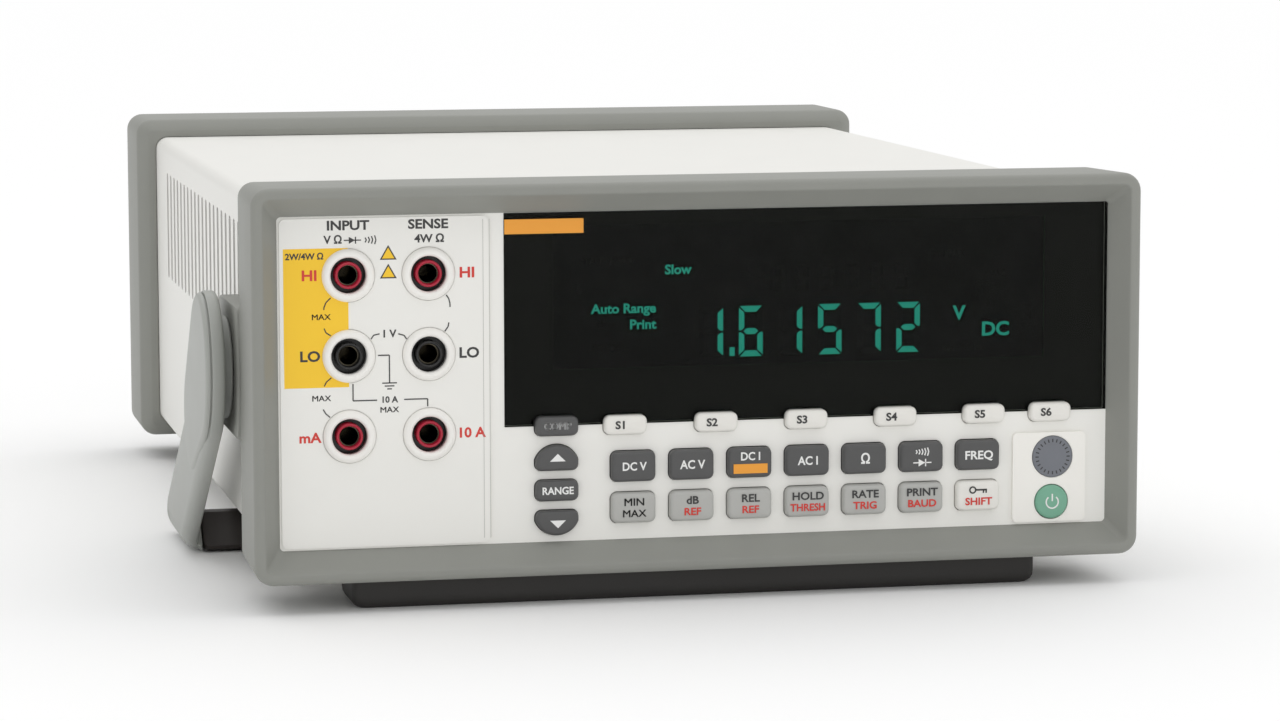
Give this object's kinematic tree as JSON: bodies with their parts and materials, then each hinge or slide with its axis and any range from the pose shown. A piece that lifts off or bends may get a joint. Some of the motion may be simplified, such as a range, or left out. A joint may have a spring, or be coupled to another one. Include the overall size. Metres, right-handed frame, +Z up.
{
  "type": "bench multimeter",
  "caption": "Bench multimeter in a half-rack case with grey bezels, a wide black display, a keypad, red and black banana jacks and a bail handle folded under the case.",
  "frame": {"origin": "middle of the bounding box's footprint, on the bench under the feet", "axes": "+X to the right as seen from the front, +Y from the front panel to the back, +Z up"},
  "size_m": [0.232, 0.297, 0.1008],
  "materials": {
    "bezel_grey": "satin, fine moulded texture",
    "case_paint": "satin powder coat",
    "rear_paint": "satin powder coat",
    "panel_plastic": "fine matt",
    "overlay_film": "fine matt printed film",
    "window_acrylic": "polished smoked acrylic",
    "display_glass": "dark glass",
    "circuit_board": "solder mask",
    "keypad_rubber": "matt",
    "surround_plastic": "fine matt",
    "seal_grey": "matt",
    "key_green": "satin, slightly translucent",
    "key_dark": "satin",
    "key_light": "satin",
    "key_pale": "satin",
    "collar_white": "satin",
    "insulator_red": "glossy",
    "insulator_black": "glossy",
    "contact_metal": "plated",
    "arm_grey": "satin",
    "grip_brown": "soft matt",
    "pin_steel": "turned",
    "foot_rubber": "matt",
    "black_nylon": "satin",
    "tin_plate": "tinned",
    "copper_winding": "varnished winding",
    "fuse_ceramic": "ceramic with metal caps"
  },
  "bodies": {
    "case": {"front_bezel": "bezel_grey", "rear_bezel": "bezel_grey", "case_sleeve": "case_paint", "front_panel": "panel_plastic", "terminal_overlay": "overlay_film", "display_window": "window_acrylic", "display_tube": "display_glass", "front_board": "circuit_board", "keypad_membrane": "keypad_rubber", "power_surround": "surround_plastic", "seal_plug": "seal_grey", "jack_collars": "collar_white", "jack_insulators_red": "insulator_red", "jack_insulators_black": "insulator_black", "jack_contacts": "contact_metal", "front_foot": "foot_rubber", "rear_feet": "foot_rubber", "rear_panel": "rear_paint", "mains_inlet": "black_nylon", "switch_housing": "black_nylon", "serial_port": "tin_plate", "ground_terminal": "contact_metal", "chassis_tray": "tin_plate", "main_board": "circuit_board", "mains_transformer": "copper_winding", "input_shield": "tin_plate", "current_fuses": "fuse_ceramic", "fuse_cover": "case_paint", "case_screws": "pin_steel"},
    "handle": {"handle_arm_left": "arm_grey", "handle_arm_right": "arm_grey", "handle_grip": "grip_brown", "handle_pivot_pins": "pin_steel"},
    "rear_rocker": {"rear_power_switch": "black_nylon"},
    "fuse_tray": {"fuse_drawer": "black_nylon"},
    "key_compare_cap": {"key_compare": "key_dark"},
    "key_up_cap": {"key_up": "key_dark"},
    "key_range_cap": {"key_range": "key_dark"},
    "key_down_cap": {"key_down": "key_dark"},
    "soft_key_1_cap": {"soft_key_1": "key_pale"},
    "soft_key_2_cap": {"soft_key_2": "key_pale"},
    "soft_key_3_cap": {"soft_key_3": "key_pale"},
    "soft_key_4_cap": {"soft_key_4": "key_pale"},
    "soft_key_5_cap": {"soft_key_5": "key_pale"},
    "soft_key_6_cap": {"soft_key_6": "key_pale"},
    "key_dc_volts_cap": {"key_dc_volts": "key_dark"},
    "key_ac_volts_cap": {"key_ac_volts": "key_dark"},
    "key_dc_current_cap": {"key_dc_current": "key_dark"},
    "key_ac_current_cap": {"key_ac_current": "key_dark"},
    "key_ohms_cap": {"key_ohms": "key_dark"},
    "key_continuity_cap": {"key_continuity": "key_dark"},
    "key_frequency_cap": {"key_frequency": "key_dark"},
    "key_min_max_cap": {"key_min_max": "key_light"},
    "key_decibel_cap": {"key_decibel": "key_light"},
    "key_relative_cap": {"key_relative": "key_light"},
    "key_hold_cap": {"key_hold": "key_light"},
    "key_rate_cap": {"key_rate": "key_light"},
    "key_print_cap": {"key_print": "key_light"},
    "key_shift_cap": {"key_shift": "key_pale"},
    "power_key_cap": {"power_key": "key_green"}
  },
  "joints": [
    {"name": "handle_swing", "type": "hinge", "parent": "case", "child": "handle", "pos_m": [0, -0.1005, 0.0538], "axis": [1, 0, 0], "range_deg": [-235, 0]},
    {"name": "rocker_tilt", "type": "hinge", "parent": "case", "child": "rear_rocker", "pos_m": [0.034, 0.139, 0.0453], "axis": [1, 0, 0], "range_deg": [-14, 0]},
    {"name": "fuse_tray_slide", "type": "slide", "parent": "case", "child": "fuse_tray", "axis": [0, 1, 0], "range_m": [0, 0.022]},
    {"name": "press_compare", "type": "slide", "parent": "case", "child": "key_compare_cap", "axis": [0, 1, 0], "range_m": [0, 0.001], "stiffness_N_per_m": 700, "springref_m": -0.0006},
    {"name": "press_up", "type": "slide", "parent": "case", "child": "key_up_cap", "axis": [0, 1, 0], "range_m": [0, 0.001], "stiffness_N_per_m": 700, "springref_m": -0.0006},
    {"name": "press_range", "type": "slide", "parent": "case", "child": "key_range_cap", "axis": [0, 1, 0], "range_m": [0, 0.001], "stiffness_N_per_m": 700, "springref_m": -0.0006},
    {"name": "press_down", "type": "slide", "parent": "case", "child": "key_down_cap", "axis": [0, 1, 0], "range_m": [0, 0.001], "stiffness_N_per_m": 700, "springref_m": -0.0006},
    {"name": "press_soft_1", "type": "slide", "parent": "case", "child": "soft_key_1_cap", "axis": [0, 1, 0], "range_m": [0, 0.001], "stiffness_N_per_m": 700, "springref_m": -0.0006},
    {"name": "press_soft_2", "type": "slide", "parent": "case", "child": "soft_key_2_cap", "axis": [0, 1, 0], "range_m": [0, 0.001], "stiffness_N_per_m": 700, "springref_m": -0.0006},
    {"name": "press_soft_3", "type": "slide", "parent": "case", "child": "soft_key_3_cap", "axis": [0, 1, 0], "range_m": [0, 0.001], "stiffness_N_per_m": 700, "springref_m": -0.0006},
    {"name": "press_soft_4", "type": "slide", "parent": "case", "child": "soft_key_4_cap", "axis": [0, 1, 0], "range_m": [0, 0.001], "stiffness_N_per_m": 700, "springref_m": -0.0006},
    {"name": "press_soft_5", "type": "slide", "parent": "case", "child": "soft_key_5_cap", "axis": [0, 1, 0], "range_m": [0, 0.001], "stiffness_N_per_m": 700, "springref_m": -0.0006},
    {"name": "press_soft_6", "type": "slide", "parent": "case", "child": "soft_key_6_cap", "axis": [0, 1, 0], "range_m": [0, 0.001], "stiffness_N_per_m": 700, "springref_m": -0.0006},
    {"name": "press_dc_volts", "type": "slide", "parent": "case", "child": "key_dc_volts_cap", "axis": [0, 1, 0], "range_m": [0, 0.001], "stiffness_N_per_m": 700, "springref_m": -0.0006},
    {"name": "press_ac_volts", "type": "slide", "parent": "case", "child": "key_ac_volts_cap", "axis": [0, 1, 0], "range_m": [0, 0.001], "stiffness_N_per_m": 700, "springref_m": -0.0006},
    {"name": "press_dc_current", "type": "slide", "parent": "case", "child": "key_dc_current_cap", "axis": [0, 1, 0], "range_m": [0, 0.001], "stiffness_N_per_m": 700, "springref_m": -0.0006},
    {"name": "press_ac_current", "type": "slide", "parent": "case", "child": "key_ac_current_cap", "axis": [0, 1, 0], "range_m": [0, 0.001], "stiffness_N_per_m": 700, "springref_m": -0.0006},
    {"name": "press_ohms", "type": "slide", "parent": "case", "child": "key_ohms_cap", "axis": [0, 1, 0], "range_m": [0, 0.001], "stiffness_N_per_m": 700, "springref_m": -0.0006},
    {"name": "press_continuity", "type": "slide", "parent": "case", "child": "key_continuity_cap", "axis": [0, 1, 0], "range_m": [0, 0.001], "stiffness_N_per_m": 700, "springref_m": -0.0006},
    {"name": "press_frequency", "type": "slide", "parent": "case", "child": "key_frequency_cap", "axis": [0, 1, 0], "range_m": [0, 0.001], "stiffness_N_per_m": 700, "springref_m": -0.0006},
    {"name": "press_min_max", "type": "slide", "parent": "case", "child": "key_min_max_cap", "axis": [0, 1, 0], "range_m": [0, 0.001], "stiffness_N_per_m": 700, "springref_m": -0.0006},
    {"name": "press_decibel", "type": "slide", "parent": "case", "child": "key_decibel_cap", "axis": [0, 1, 0], "range_m": [0, 0.001], "stiffness_N_per_m": 700, "springref_m": -0.0006},
    {"name": "press_relative", "type": "slide", "parent": "case", "child": "key_relative_cap", "axis": [0, 1, 0], "range_m": [0, 0.001], "stiffness_N_per_m": 700, "springref_m": -0.0006},
    {"name": "press_hold", "type": "slide", "parent": "case", "child": "key_hold_cap", "axis": [0, 1, 0], "range_m": [0, 0.001], "stiffness_N_per_m": 700, "springref_m": -0.0006},
    {"name": "press_rate", "type": "slide", "parent": "case", "child": "key_rate_cap", "axis": [0, 1, 0], "range_m": [0, 0.001], "stiffness_N_per_m": 700, "springref_m": -0.0006},
    {"name": "press_print", "type": "slide", "parent": "case", "child": "key_print_cap", "axis": [0, 1, 0], "range_m": [0, 0.001], "stiffness_N_per_m": 700, "springref_m": -0.0006},
    {"name": "press_shift", "type": "slide", "parent": "case", "child": "key_shift_cap", "axis": [0, 1, 0], "range_m": [0, 0.001], "stiffness_N_per_m": 700, "springref_m": -0.0006},
    {"name": "press_power", "type": "slide", "parent": "case", "child": "power_key_cap", "axis": [0, 1, 0], "range_m": [0, 0.001], "stiffness_N_per_m": 700, "springref_m": -0.0006}
  ]
}
